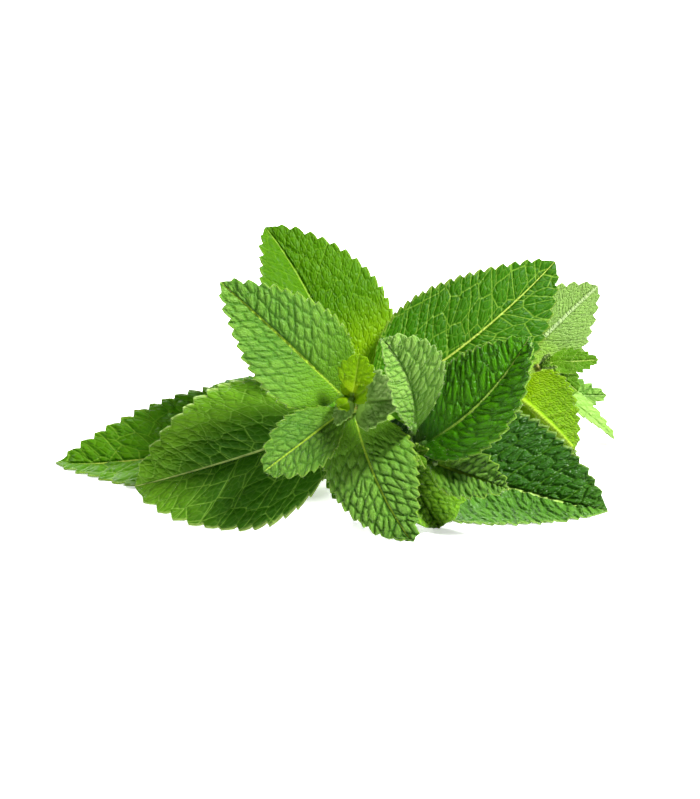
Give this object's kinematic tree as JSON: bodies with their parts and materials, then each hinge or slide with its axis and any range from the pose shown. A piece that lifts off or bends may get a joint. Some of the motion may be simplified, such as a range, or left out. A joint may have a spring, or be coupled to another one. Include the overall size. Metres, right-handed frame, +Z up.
{
  "type": "mint sprig",
  "caption": "Cut sprig of fresh mint lying on its side: a square stem with two side shoots and toothed leaves in crossed pairs, for garnish, food and drink scenes.",
  "frame": {"origin": "middle of the sprig's box, at the level of the surface it lies on", "axes": "+Z up from that surface, +X along the longest extent towards the right-hand leaves, -Y the way the leafy tip points"},
  "size_m": [0.1417, 0.0998, 0.062],
  "materials": {
    "leaf": "satin",
    "young_leaf": "satin",
    "stem": "satin"
  },
  "bodies": {
    "root": {"stem": "stem", "main_leaf_1_left": "leaf", "main_leaf_1_right": "leaf", "main_leaf_2_left": "leaf", "main_leaf_2_right": "leaf", "main_leaf_3_upper": "young_leaf", "main_leaf_3_lower": "leaf", "main_leaf_4_left": "leaf", "main_leaf_4_right": "leaf", "main_leaf_5_upper": "leaf", "main_leaf_5_lower": "leaf", "main_leaf_6_left": "leaf", "main_leaf_6_right": "leaf", "front_leaf_1_right": "leaf", "front_leaf_2_right": "leaf", "front_leaf_2_upper": "leaf", "front_leaf_1_lower": "leaf", "back_leaf_1_upper": "young_leaf", "back_leaf_1_lower": "young_leaf", "back_leaf_2_near": "young_leaf", "back_leaf_2_far": "leaf", "main_tip": "young_leaf", "front_tip": "young_leaf", "back_tip": "young_leaf"}
  },
  "joints": []
}
